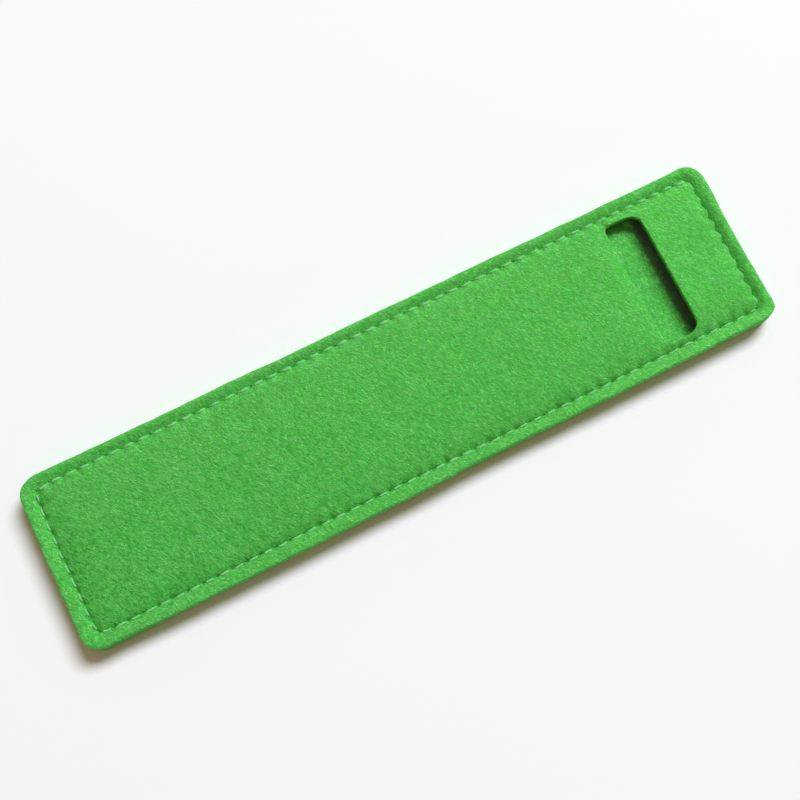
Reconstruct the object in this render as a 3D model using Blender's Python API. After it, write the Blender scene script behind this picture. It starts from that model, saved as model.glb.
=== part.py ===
"""Felt pen case: two die-cut felt layers joined by one line of machine lockstitch.

The case lies flat with its back panel down. +X runs along the case to its slotted end, +Y across it and
+Z up out of the front panel. The origin is at the centre of the underside. All lengths are in metres.
"""

from math import cos, pi, sin, sqrt

import bmesh
import bpy
from mathutils import Matrix, Vector

# The felt and its outline
CASE_LENGTH = 0.175
CASE_WIDTH = 0.042
CORNER_RADIUS = 0.0045
INNER_CORNER_RADIUS = 0.0018
FELT_THICKNESS = 0.003
EDGE_ROUNDING = 0.0006

# The two layers meet at the seam, and the front one stands off a little between its seams
LAYER_GAP = 0.0003
POCKET_RISE = 0.0005
POCKET_SLOPE_WIDTH = 0.0025

# The seam and the groove that its tension presses into both outer faces
SEAM_ALLOWANCE = 0.0033
STITCH_PITCH = 0.00355
THREAD_DIAMETER = 0.00032
THREAD_CLEARANCE = 0.0001
GROOVE_DEPTH = 0.0008
GROOVE_FLOOR_MARGIN = 0.0001
GROOVE_INNER_FLANK = 0.0019
MARGIN_LAND = 0.0005

# The slot that the pen goes in by, and the header band beyond it
SLOT_WIDTH = 0.010
SLOT_SIDE_STRIP = 0.0018
SLOT_CORNER_RADIUS = 0.0022
HEADER_LENGTH = 0.0149

# How far a cutter runs past the faces that it cuts
CUT_OVERRUN = 0.001

# How finely round shapes are divided. A corner has an even number of segments, so a hole can sit at its middle.
CORNER_SEGMENTS = 6
EDGE_SEGMENTS = 2
NEEDLE_HOLE_SIDES = 6

# Where the seam starts and ends on the side at -Y, as a share of that side
SEAM_START_SHARE = 0.5

# Heights and the edge's round, which follow from the sizes above
EDGE_RADIUS = min(EDGE_ROUNDING, FELT_THICKNESS / 2)
FRONT_UNDERSIDE = FELT_THICKNESS + LAYER_GAP
FRONT_TOP = FRONT_UNDERSIDE + FELT_THICKNESS
SEAM_MIDDLE = FELT_THICKNESS + LAYER_GAP / 2

# Each lock is a needle loop that passes under a bobbin loop, at right angles to it. The loops lie at
# 45 degrees to the seam, and their legs stand clear of each other by the thread's clearance.
LOOP_REACH = (THREAD_DIAMETER + THREAD_CLEARANCE) / sqrt(2)
LOOP_DROP = (THREAD_DIAMETER + THREAD_CLEARANCE) / 2
HOLE_RADIUS = (LOOP_REACH * sqrt(2) + THREAD_DIAMETER / 2 + THREAD_CLEARANCE) / cos(pi / NEEDLE_HOLE_SIDES)
GROOVE_FLOOR_HALF = HOLE_RADIUS + GROOVE_FLOOR_MARGIN
SLOT_LENGTH = CASE_WIDTH - 2 * (SEAM_ALLOWANCE + SLOT_SIDE_STRIP)
SLOT_CENTRE_X = CASE_LENGTH / 2 - SEAM_ALLOWANCE - HEADER_LENGTH - SLOT_WIDTH / 2

FELT_GREEN = (0.072, 0.410, 0.062, 1.0)
THREAD_GREEN = (0.190, 0.600, 0.200, 1.0)
FELT_ROUGHNESS = 0.95
THREAD_ROUGHNESS = 0.45


def clear_scene() -> None:
    """Remove every object that the file opened with."""
    for old in list(bpy.data.objects):
        bpy.data.objects.remove(old, do_unlink=True)


def new_collection(name: str) -> bpy.types.Collection:
    """Make a collection in the scene.

    Args:
        name: the collection's name.

    Returns:
        The new collection.
    """
    collection = bpy.data.collections.new(name)
    bpy.context.scene.collection.children.link(collection)
    return collection


def make_material(name: str, colour: tuple, roughness: float) -> bpy.types.Material:
    """Make a plain non-metallic material.

    Args:
        name: the material's name.
        colour: linear red, green, blue and alpha.
        roughness: the Principled roughness.

    Returns:
        The new material.
    """
    material = bpy.data.materials.new(name)
    material.use_nodes = True
    principled = material.node_tree.nodes["Principled BSDF"]
    principled.inputs["Base Color"].default_value = colour
    principled.inputs["Roughness"].default_value = roughness
    principled.inputs["Metallic"].default_value = 0.0
    return material


def rounded_outline(length: float, width: float, radius: float) -> list[Vector]:
    """Walk a rounded rectangle about the origin, anticlockwise, starting at its lower right corner.

    Args:
        length: its size along X.
        width: its size along Y.
        radius: the radius of its corners.

    Returns:
        The outline's points, as many for every size so that outlines can be bridged.
    """
    points = []
    for corner in range(4):
        start_angle = (corner - 1) * pi / 2
        centre_x = (length / 2 - radius) * (1 if corner in (0, 1) else -1)
        centre_y = (width / 2 - radius) * (1 if corner in (1, 2) else -1)
        for step in range(CORNER_SEGMENTS + 1):
            angle = start_angle + step / CORNER_SEGMENTS * pi / 2
            points.append(Vector((centre_x + radius * cos(angle), centre_y + radius * sin(angle), 0)))
    return points


def case_outline(inset: float) -> list[Vector]:
    """Give the case's outline, drawn in from its edge.

    Args:
        inset: how far inside the cut edge the outline runs.

    Returns:
        The outline's points.
    """
    radius = max(CORNER_RADIUS - inset, min(CORNER_RADIUS, INNER_CORNER_RADIUS))
    return rounded_outline(CASE_LENGTH - 2 * inset, CASE_WIDTH - 2 * inset, radius)


def rim_sections(level: float, towards: float) -> list[tuple[float, float]]:
    """Round one cut rim of a felt panel, from its flat face out to its side wall.

    Args:
        level: the height of the flat face.
        towards: 1 where the side wall lies above the face, -1 where it lies below.

    Returns:
        Pairs of inset and height along the quarter round.
    """
    sections = []
    for step in range(EDGE_SEGMENTS + 1):
        angle = step / EDGE_SEGMENTS * pi / 2
        inset = EDGE_RADIUS * (1 - sin(angle))
        sections.append((inset, level + towards * EDGE_RADIUS * (1 - cos(angle))))
    return sections


def groove_sections(level: float, inward: float, crown: float) -> list[tuple[float, float]]:
    """Draw the groove that the seam presses into an outer face, from the centre out to the rim.

    Args:
        level: the height of the margin's flat face.
        inward: -1 where the groove goes down into the felt, 1 where it goes up.
        crown: the height of the face between the seams, past the groove.

    Returns:
        Pairs of inset and height, the first at the inner end of the crown's slope.
    """
    floor = level + inward * GROOVE_DEPTH
    flank_top = SEAM_ALLOWANCE + GROOVE_FLOOR_HALF + GROOVE_INNER_FLANK
    return [
        (flank_top + POCKET_SLOPE_WIDTH, crown),
        (flank_top, level),
        (SEAM_ALLOWANCE + GROOVE_FLOOR_HALF, floor),
        (SEAM_ALLOWANCE - GROOVE_FLOOR_HALF, floor),
        (EDGE_RADIUS + MARGIN_LAND, level),
    ]


def bridge_sections(name: str, sections: list[tuple[float, float]]) -> bpy.types.Object:
    """Bridge a stack of case outlines into one closed body with flat ends.

    Args:
        name: the object's name.
        sections: pairs of inset and height, in order over the body's surface.

    Returns:
        The new object, not yet in a collection.
    """
    shape = bmesh.new()
    rings = [
        [shape.verts.new((point.x, point.y, height)) for point in case_outline(inset)]
        for inset, height in sections
    ]
    for ring, following in zip(rings, rings[1:]):
        for index in range(len(ring)):
            shape.faces.new((ring[index - 1], ring[index], following[index], following[index - 1]))
    for end_ring in (rings[0], rings[-1]):
        shape.faces.new(end_ring)
    bmesh.ops.recalc_face_normals(shape, faces=shape.faces)
    mesh = bpy.data.meshes.new(name)
    shape.to_mesh(mesh)
    shape.free()
    return bpy.data.objects.new(name, mesh)


def spaced_stations(run: list[Vector]) -> list[tuple[Vector, Vector, Vector]]:
    """Space needle holes evenly from the start of a stretch of the seam, leaving out its end.

    Args:
        run: the points of the stretch, from one corner pivot to the next.

    Returns:
        For each hole its place at height zero, the direction of sewing and the direction into the case.
    """
    pieces = [(a, b - a) for a, b in zip(run, run[1:])]
    length = sum(step.length for _, step in pieces)
    count = round(length / STITCH_PITCH)
    stations = []
    for index in range(count):
        left = length * index / count
        for begin, step in pieces:
            if left < step.length:
                break
            left -= step.length
        forward = step.normalized()
        stations.append((begin + forward * left, forward, Vector((-forward.y, forward.x, 0))))
    return stations


def seam_stations() -> list[tuple[Vector, Vector, Vector]]:
    """Place the needle holes round the seam, with one at the middle of each corner, where the work pivots.

    Returns:
        The stations in the order of sewing, which starts and ends on the side at -Y.
    """
    outline = case_outline(SEAM_ALLOWANCE)
    pivots = [corner * (CORNER_SEGMENTS + 1) + CORNER_SEGMENTS // 2 for corner in range(4)]
    start_side = spaced_stations(outline[pivots[3]:] + outline[:pivots[0] + 1])
    first = round(len(start_side) * SEAM_START_SHARE)
    stations = start_side[first:]
    for begin, end in zip(pivots, pivots[1:]):
        stations += spaced_stations(outline[begin:end + 1])
    return stations + start_side[:first]


def stitch_points(outer_level: float, loop_level: float, lean: float) -> list[Vector]:
    """Lay one thread of the lockstitch, hole by hole round the seam.

    Args:
        outer_level: the height at which the thread runs from hole to hole.
        loop_level: the height of its loops inside the felt.
        lean: 1 or -1, the diagonal that its loops take, which differs for the two threads.

    Returns:
        The thread's corner points from end to end.
    """
    stations = seam_stations()
    points = []
    for place, forward, inward in stations:
        for along in (-1, 1):
            leg = place + (forward + inward * lean) * (along * LOOP_REACH)
            outer = leg + Vector((0, 0, outer_level))
            inner = leg + Vector((0, 0, loop_level))
            points += [outer, inner] if along < 0 else [inner, outer]
    last_place = stations[0][0] - stations[0][1] * (HOLE_RADIUS + THREAD_DIAMETER)
    points.append(last_place + Vector((0, 0, outer_level)))
    return points


def make_thread(name: str, points: list[Vector], material: bpy.types.Material) -> bpy.types.Object:
    """Make one sewing thread as an unbroken tube along its route.

    Args:
        name: the object's name.
        points: the thread's corner points.
        material: its material.

    Returns:
        The new curve object.
    """
    curve = bpy.data.curves.new(name, "CURVE")
    curve.dimensions = "3D"
    curve.bevel_depth = THREAD_DIAMETER / 2
    curve.bevel_resolution = 0
    curve.use_fill_caps = True
    spline = curve.splines.new("POLY")
    spline.points.add(len(points) - 1)
    for target, point in zip(spline.points, points):
        target.co = (*point, 1)
    curve.materials.append(material)
    return bpy.data.objects.new(name, curve)


def make_needle_cutter() -> bpy.types.Object:
    """Make the needle that pierces both panels at every station.

    Returns:
        One object that holds a prism for each hole.
    """
    low = -CUT_OVERRUN
    high = FRONT_TOP + CUT_OVERRUN
    shape = bmesh.new()
    for place, forward, inward in seam_stations():
        turn = Matrix((forward, inward, Vector((0, 0, 1)))).transposed().to_4x4()
        middle = Matrix.Translation(place + Vector((0, 0, (low + high) / 2)))
        bmesh.ops.create_cone(
            shape,
            cap_ends=True,
            segments=NEEDLE_HOLE_SIDES,
            radius1=HOLE_RADIUS,
            radius2=HOLE_RADIUS,
            depth=high - low,
            matrix=middle @ turn @ Matrix.Rotation(pi / 2, 4, "Z"),
        )
    mesh = bpy.data.meshes.new("needle_cutter")
    shape.to_mesh(mesh)
    shape.free()
    return bpy.data.objects.new("needle_cutter", mesh)


def make_slot_cutter() -> bpy.types.Object:
    """Make the die that cuts the pen slot out of the front panel.

    Returns:
        The cutter, a rounded block that runs past both faces of the front panel.
    """
    radius = min(SLOT_CORNER_RADIUS, SLOT_WIDTH / 2, SLOT_LENGTH / 2)
    low = FRONT_UNDERSIDE - CUT_OVERRUN
    high = FRONT_TOP + POCKET_RISE + CUT_OVERRUN
    shape = bmesh.new()
    ring = [
        shape.verts.new((point.x + SLOT_CENTRE_X, point.y, low))
        for point in rounded_outline(SLOT_WIDTH, SLOT_LENGTH, radius)
    ]
    base = shape.faces.new(ring)
    raised = bmesh.ops.extrude_face_region(shape, geom=[base])["geom"]
    lifted = [item for item in raised if isinstance(item, bmesh.types.BMVert)]
    bmesh.ops.translate(shape, verts=lifted, vec=(0, 0, high - low))
    bmesh.ops.recalc_face_normals(shape, faces=shape.faces)
    mesh = bpy.data.meshes.new("slot_cutter")
    shape.to_mesh(mesh)
    shape.free()
    return bpy.data.objects.new("slot_cutter", mesh)


def cut(target: bpy.types.Object, cutter: bpy.types.Object) -> None:
    """Take one cutter away from an object, as a live modifier.

    Args:
        target: the object that is cut.
        cutter: the closed shape that is taken away.
    """
    modifier = target.modifiers.new(cutter.name, "BOOLEAN")
    modifier.operation = "DIFFERENCE"
    modifier.solver = "EXACT"
    modifier.object = cutter


def make_back_panel(material: bpy.types.Material) -> bpy.types.Object:
    """Make the lower felt layer: flat on both faces, with the seam's groove in its underside.

    Args:
        material: the felt's material.

    Returns:
        The new object, without its needle holes.
    """
    underside = groove_sections(0, 1, 0)[1:]
    sections = underside + rim_sections(0, 1) + rim_sections(FELT_THICKNESS, -1)[::-1]
    panel = bridge_sections("back_panel", sections)
    panel.data.materials.append(material)
    return panel


def make_front_panel(material: bpy.types.Material) -> bpy.types.Object:
    """Make the upper felt layer, raised between the seams, with the seam's groove in its top.

    Args:
        material: the felt's material.

    Returns:
        The new object, without its slot and needle holes.
    """
    top = groove_sections(FRONT_TOP, -1, FRONT_TOP + POCKET_RISE)
    slope_start = top[1][0]
    ceiling = [
        (slope_start, FRONT_UNDERSIDE),
        (slope_start + POCKET_SLOPE_WIDTH, FRONT_UNDERSIDE + POCKET_RISE),
    ]
    sections = top + rim_sections(FRONT_TOP, -1) + rim_sections(FRONT_UNDERSIDE, 1)[::-1] + ceiling
    panel = bridge_sections("front_panel", sections)
    panel.data.materials.append(material)
    return panel


def main() -> None:
    """Build the pen case."""
    clear_scene()
    parts = new_collection("pen_case")
    cutters = new_collection("cutters")
    felt = make_material("felt", FELT_GREEN, FELT_ROUGHNESS)
    thread = make_material("thread", THREAD_GREEN, THREAD_ROUGHNESS)

    needle = make_needle_cutter()
    slot = make_slot_cutter()
    for cutter in (needle, slot):
        cutters.objects.link(cutter)
        cutter.hide_render = True
        cutter.display_type = "WIRE"

    back_panel = make_back_panel(felt)
    front_panel = make_front_panel(felt)
    cut(front_panel, slot)
    for panel in (back_panel, front_panel):
        cut(panel, needle)

    lift = THREAD_CLEARANCE + THREAD_DIAMETER / 2
    needle_route = stitch_points(FRONT_TOP - GROOVE_DEPTH + lift, SEAM_MIDDLE - LOOP_DROP, 1)
    bobbin_route = stitch_points(GROOVE_DEPTH - lift, SEAM_MIDDLE + LOOP_DROP, -1)
    needle_thread = make_thread("needle_thread", needle_route, thread)
    bobbin_thread = make_thread("bobbin_thread", bobbin_route, thread)
    for piece in (back_panel, front_panel, needle_thread, bobbin_thread):
        parts.objects.link(piece)
    print("stitches:", len(seam_stations()))


main()
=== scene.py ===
"""Felt pen case, dressed over its CAD frame.

Two felt panels with the groove that the seam presses into them, the two threads of the lockstitch with a
dive at every needle hole, and the felt's loose fibres. +X runs along the case to its slotted end, +Y across
it and +Z up out of the front panel. All lengths are in metres.
"""

import logging
from dataclasses import asdict, dataclass, field, replace
from enum import Enum
from math import pi, radians, tau
from typing import Callable

import bmesh
import bpy
import numpy as np
from mathutils import Matrix, Vector
from mathutils.geometry import delaunay_2d_cdt


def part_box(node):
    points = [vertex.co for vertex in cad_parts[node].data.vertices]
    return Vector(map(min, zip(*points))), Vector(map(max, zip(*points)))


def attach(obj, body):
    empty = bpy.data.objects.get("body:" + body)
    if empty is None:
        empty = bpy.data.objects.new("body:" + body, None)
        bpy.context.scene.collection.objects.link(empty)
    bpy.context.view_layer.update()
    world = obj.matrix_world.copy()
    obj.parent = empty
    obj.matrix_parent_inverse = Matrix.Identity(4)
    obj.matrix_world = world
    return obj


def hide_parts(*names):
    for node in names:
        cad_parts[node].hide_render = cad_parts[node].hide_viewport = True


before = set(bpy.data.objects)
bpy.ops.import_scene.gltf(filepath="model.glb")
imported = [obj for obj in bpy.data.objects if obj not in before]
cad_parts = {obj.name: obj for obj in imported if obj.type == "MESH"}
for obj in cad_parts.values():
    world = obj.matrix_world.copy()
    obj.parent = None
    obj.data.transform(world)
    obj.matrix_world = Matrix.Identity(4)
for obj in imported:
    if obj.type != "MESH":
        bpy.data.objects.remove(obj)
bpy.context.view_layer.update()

LOG = logging.getLogger("pen_case")
BODY = "root"
TINY = 1e-9
Array = np.ndarray
Triple = tuple[float, float, float]
Colour = tuple[float, float, float, float]
# A value for each side of the case: at -Y, +X, +Y and -X.
Sides = tuple[float, float, float, float]
# Where a value starts and stops to change, and either its two values or where it changes back.
Span = tuple[float, float, float, float]


class Side(Enum):
    """Which way a felt panel's outer face looks."""

    FRONT = 1
    BACK = -1


class Show(Enum):
    """Which faces of a panel a layer of fibres grows on, as the range of the normal's height."""

    TOP = (0.45, 1.0)
    RIM = (-0.6, 0.6)
    UNDERSIDE = (-1.0, -0.6)


def ease(low: float, high: float, value: Array) -> Array:
    """Rise smoothly from 0 at the low value to 1 at the high one."""
    share = np.clip((value - low) / (high - low), 0.0, 1.0)
    return share * share * (3 - 2 * share)


def hump(span: Span, value: Array) -> Array:
    """Rise from 0 to 1 over the span's first two values and fall back over its last two."""
    return ease(*span[:2], value) * (1 - ease(*span[2:], value))


def decay(value: Array, reach: float) -> Array:
    """Fall from 1 towards 0, with the given reach."""
    return np.exp(-value / reach)


def rounded_distance(x: Array, y: Array, half: tuple[float, float], radius: Array) -> Array:
    """Measure how far points lie inside a rounded rectangle about the origin.

    Args:
        x: the points' first coordinates.
        y: their second coordinates.
        half: half its length and half its width.
        radius: its corner radius, one for all or one for each point.

    Returns:
        The distances from the outline, below 0 outside it.
    """
    across = np.abs(x) - half[0] + radius
    along = np.abs(y) - half[1] + radius
    outer = np.hypot(np.maximum(across, 0), np.maximum(along, 0))
    return radius - outer - np.minimum(np.maximum(across, along), 0)


@dataclass(frozen=True)
class Ripple:
    """Smooth seeded unevenness over a plane: bumps of one size and height."""

    spacing: float
    height: float
    seed: int
    cells: int = 97
    origin: int = 40

    def at(self, x: Array, y: Array) -> Array:
        """Give the unevenness at points.

        Args:
            x: the points' first coordinates.
            y: their second coordinates.

        Returns:
            Heights between minus and plus the ripple's height.
        """
        lattice = np.random.default_rng(self.seed).uniform(-1, 1, (self.cells, self.cells))
        u, v = (np.asarray(value) / self.spacing + self.origin for value in (x, y))
        column, row = (np.floor(value).astype(int) for value in (u, v))
        s, t = ease(0, 1, u - column), ease(0, 1, v - row)
        near, far = (
            lattice[column % self.cells, line] * (1 - s) + lattice[(column + 1) % self.cells, line] * s
            for line in (row % self.cells, (row + 1) % self.cells)
        )
        return self.height * (near * (1 - t) + far * t)


@dataclass(frozen=True)
class CaseForm:
    """The sizes that the case's pieces share, and the lines drawn from them."""

    length: float = 0.175
    width: float = 0.042
    corner_radius: float = 0.0045
    inner_corner_radius: float = 0.0018
    felt_thickness: float = 0.003
    layer_gap: float = 0.0003
    pocket_rise: float = 0.0005
    seam_allowance: float = 0.0033
    stitch_pitch: float = 0.00355
    groove_depth: float = 0.0008
    slot_width: float = 0.010
    slot_side_strip: float = 0.0018
    slot_radius: float = 0.0026
    tight_slot_radius: float = 0.0017
    header_length: float = 0.0149
    corner_zone: float = 0.008
    rest_level: float = 0.0001
    side_reach: float = 0.010
    turn_reach: float = 0.006

    @classmethod
    def from_frame(cls) -> "CaseForm":
        """Take the outer size from the CAD model's panels."""
        low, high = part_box("front_panel")
        return cls(length=high[0] - low[0], width=high[1] - low[1])

    @property
    def half(self) -> tuple[float, float]:
        """Half the case's length and half its width."""
        return self.length / 2, self.width / 2

    @property
    def front_underside(self) -> float:
        """The height of the front panel's underside at its margin."""
        return self.felt_thickness + self.layer_gap

    @property
    def front_top(self) -> float:
        """The height of the front panel's top at its margin."""
        return self.front_underside + self.felt_thickness

    @property
    def slot_centre(self) -> float:
        """The place of the slot's middle along the case."""
        return self.length / 2 - self.seam_allowance - self.header_length - self.slot_width / 2

    @property
    def slot_half(self) -> tuple[float, float]:
        """Half the slot's size along and across the case."""
        return self.slot_width / 2, self.width / 2 - self.seam_allowance - self.slot_side_strip

    def inset(self, x: Array, y: Array) -> Array:
        """Measure how far points lie inside the cut edge."""
        return rounded_distance(x, y, self.half, self.corner_radius)

    def past_seam(self, x: Array, y: Array) -> Array:
        """Measure how far points lie inside the seam line, below 0 on the margin."""
        half = (self.length / 2 - self.seam_allowance, self.width / 2 - self.seam_allowance)
        return rounded_distance(x, y, half, self.inner_corner_radius)

    def outside_slot(self, x: Array, y: Array) -> Array:
        """Measure how far points lie outside the slot's edge.

        Args:
            x: the points' first coordinates.
            y: their second coordinates.

        Returns:
            The distances, below 0 inside the slot.
        """
        along = x - self.slot_centre
        radius = np.where((along < 0) & (y > 0), self.tight_slot_radius, self.slot_radius)
        return -rounded_distance(along, y, self.slot_half, radius)

    def near_edges(self, x: Array, y: Array, reach: float) -> tuple[Array, Array]:
        """Rise from 0 to 1 over the reach towards the two ends, and towards the two long sides."""
        return tuple(np.clip((np.abs(value) - half + reach) / reach, 0, 1)
                     for value, half in zip((x, y), self.half))

    def upper_right(self, x: Array, y: Array) -> Array:
        """Tell the edges at +X and +Y from the two opposite ones.

        Args:
            x: the points' first coordinates.
            y: their second coordinates.

        Returns:
            1 near the edges at +X and +Y, and 0 near the others.
        """
        u, v = self.near_edges(x, y, self.turn_reach)
        u, v = u ** 2 * np.sign(x), v ** 2 * np.sign(y)
        return ease(-1, 1, (u + v) / np.maximum(np.hypot(u, v), 1e-6))

    def by_side(self, x: Array, y: Array, values: Sides) -> Array:
        """Blend a value between the four sides.

        Args:
            x: the points' first coordinates.
            y: their second coordinates.
            values: the value on each side.

        Returns:
            The value at each point, that of the nearest side, blended round the corners.
        """
        u, v = self.near_edges(x, y, self.side_reach)
        shares = np.stack([v * (y < 0), u * (x > 0), v * (y > 0), u * (x < 0)]) ** 4 + TINY
        nearest = np.tensordot(np.array(values), shares / shares.sum(axis=0), axes=1)
        close = ease(0.0, 0.58, np.maximum(u, v))
        return nearest * close + sum(values) / 4 * (1 - close)

    def side_points(self, number: int, inset: Array, place: Array) -> Array:
        """Walk one side of the outline, from corner middle to corner middle.

        Args:
            number: the side: 0 at -Y, then anticlockwise.
            inset: how far inside the cut edge the line runs.
            place: places along the seam's own line, from the side's middle.

        Returns:
            The points, one row each, on the line at that inset.
        """
        reach, out = self.half if number % 2 == 0 else self.half[::-1]
        radius = np.maximum(self.corner_radius - inset, self.inner_corner_radius)
        straight = self.corner_zone - inset - radius
        seam_straight = self.corner_zone - self.seam_allowance - self.inner_corner_radius
        seam_run = seam_straight + self.inner_corner_radius * pi / 4
        share = np.clip((np.abs(place) - reach + self.corner_zone) / seam_run, 0, None)
        run = share * (straight + radius * pi / 4)
        turn = np.clip(run - straight, 0, None) / radius
        along = np.minimum(np.abs(place), reach - self.corner_zone) + np.minimum(run, straight)
        along = np.sign(place) * (along + radius * np.sin(turn))
        away = out - inset - radius * (1 - np.cos(turn))
        x, y = ((1, 0), (0, 1), (-1, 0), (0, -1))[number]
        return np.stack([along * x + away * y, along * y - away * x], axis=1)

    def half_run(self, number: int) -> float:
        """Give half the seam's length on a side, from its middle to the middle of a corner."""
        straight = self.half[number % 2] - self.seam_allowance - self.inner_corner_radius
        return straight + self.inner_corner_radius * pi / 4

    def stitch_count(self, number: int) -> int:
        """Give the number of stitches on a side."""
        return round(2 * self.half_run(number) / self.stitch_pitch)

    def loop(self, inset: Array | float, steps: tuple[float, ...]) -> Array:
        """Draw the whole line at an inset, with its points bunched at the needle holes.

        Args:
            inset: how far inside the cut edge the line runs, for all of its points or each.
            steps: shares of a stitch at which points lie, from one hole on.

        Returns:
            The line's points, as many for every inset.
        """
        parts = []
        counts = [self.stitch_count(number) for number in range(4)]
        ends = np.cumsum(counts) * len(steps)
        insets = np.split(np.broadcast_to(inset, ends[-1:]), ends[:3])
        for number, count in enumerate(counts):
            share = (np.arange(count)[:, None] + np.array(steps)[None, :]).ravel() / count
            parts.append(self.side_points(number, insets[number], (share * 2 - 1) * self.half_run(number)))
        return np.concatenate(parts)

    def holes(self) -> Array:
        """Give the needle holes in the order of sewing, from the middle of the side at -Y."""
        ring = self.loop(self.seam_allowance, (0.0,))
        return np.roll(ring, -round(self.stitch_count(0) / 2), axis=0)


@dataclass(frozen=True)
class Wander:
    """How far hand work strays from the drawn lines: the seam a little, the cut edges more."""

    seam: Ripple = Ripple(0.021, 0.00012, 5)
    edge_x: Ripple = Ripple(0.012, 0.00022, 6)
    edge_y: Ripple = Ripple(0.016, 0.00020, 7)
    edge_fine: Ripple = Ripple(0.0031, 0.00007, 8)
    edge_reach: float = 0.0026
    waist: float = 0.0003
    notch: float = 0.0002
    hollow: float = 0.00024
    fuller: float = 0.00032
    fuller_inset: float = 0.0013
    fuller_reach: float = 0.003
    across_reach: float = 0.012
    seam_end: Span = (0.0765, 0.083, 0.085, 0.0868)
    seam_long: Span = (0.0, 0.016, 0.0186, 0.0202)
    drawn_ends: tuple[float, float] = (0.0005, 0.000294)
    drawn_longs: tuple[float, float] = (0.00006, 0.0002)
    far_corner: float = 0.00026
    skewed: tuple[float, float] = (0.00044, 0.00045)
    wave: tuple[float, float] = (0.00017, 0.00020)
    narrowed: float = 0.00028
    widened: float = 0.00026

    def shift(self, form: CaseForm, x: Array, y: Array, side: Side) -> Array:
        """Give the sideways shift of points of a panel.

        Args:
            form: the case's sizes.
            x: the points' first coordinates.
            y: their second coordinates.
            side: the panel they belong to.

        Returns:
            The shifts along X and Y, one row for each point.
        """
        edge = 1 - ease(0.0, self.edge_reach, form.inset(x, y))
        seed = 0.05 * side.value
        dx = self.edge_x.at(x + seed, y) + self.edge_fine.at(x, y + seed) + self.drawn_x(x, y)
        dy = self.edge_y.at(x + seed, y) + self.edge_fine.at(x + 0.1, y + seed) + self.drawn_y(x, y)
        for sx, sy in ((1, 1), (1, -1), (-1, -1)):
            corner = (sx * (form.half[0] - self.fuller_inset), sy * (form.half[1] - self.fuller_inset))
            gap = np.hypot(x - corner[0], y - corner[1])
            push = self.fuller * np.exp(-(gap / self.fuller_reach) ** 2) * 0.7071
            dx, dy = dx + sx * push, dy + sy * push
        if side is Side.FRONT:
            far, near = (ease(0.0, self.across_reach, value) for value in (y, -y))
            dy = dy - self.waist * far * np.exp(-((x + 0.012) / 0.05) ** 2)
            dy = dy + self.notch * near * hump((0.001, 0.006, 0.028, 0.048), x)
            dy = dy - self.hollow * near * (1 - ease(0.062, 0.078, np.abs(x)))
        return np.stack([dx, dy], axis=1) * edge[:, None] + self.seam_shift(x, y)

    def seam_shift(self, x: Array, y: Array) -> Array:
        """Give the sideways shift of points near the seam line.

        Args:
            x: the points' first coordinates.
            y: their second coordinates.

        Returns:
            The shifts along X and Y, one row for each point.
        """
        sewn = self.seam.at(x, y * 0.5)
        left = self.drawn_ends[0] * hump(self.seam_end, -x) * (0.6 + 0.4 * ease(0.006, 0.016, y))
        right = self.drawn_ends[1] * hump(self.seam_end, x)
        upper = hump(self.seam_long, y) * (self.drawn_longs[0] + self.far_corner * ease(0.04, 0.07, x))
        lower = hump(self.seam_long, -y) * self.drawn_longs[1]
        return np.stack([0.4 * sewn - right + left, sewn - upper - lower], axis=1)

    def drawn_x(self, x: Array, y: Array) -> Array:
        """Give how the cutting strays at the ends: in at the far left corner, out at the far right one."""
        left = ease(0.070, 0.080, -x) * (0.00018 + self.skewed[0] * ease(0.001, 0.012, y))
        return left + ease(0.070, 0.080, x) * (self.skewed[1] * ease(0.004, 0.013, y) - 0.00012)

    def drawn_y(self, x: Array, y: Array) -> Array:
        """Give how the cutting strays along the two long sides.

        Args:
            x: the points' first coordinates.
            y: their second coordinates.

        Returns:
            The shifts along Y.
        """
        wave = self.wave[0] * np.exp(-((x + 0.044) / 0.012) ** 2)
        wave = wave - self.wave[1] * (1 - ease(-0.084, -0.058, x))
        upper = ease(0.0, self.across_reach, y) * (wave - 0.00008 - self.narrowed * ease(0.025, 0.060, x))
        return upper + ease(0.0, self.across_reach, -y) * self.widened * ease(-0.010, 0.004, x)


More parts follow.
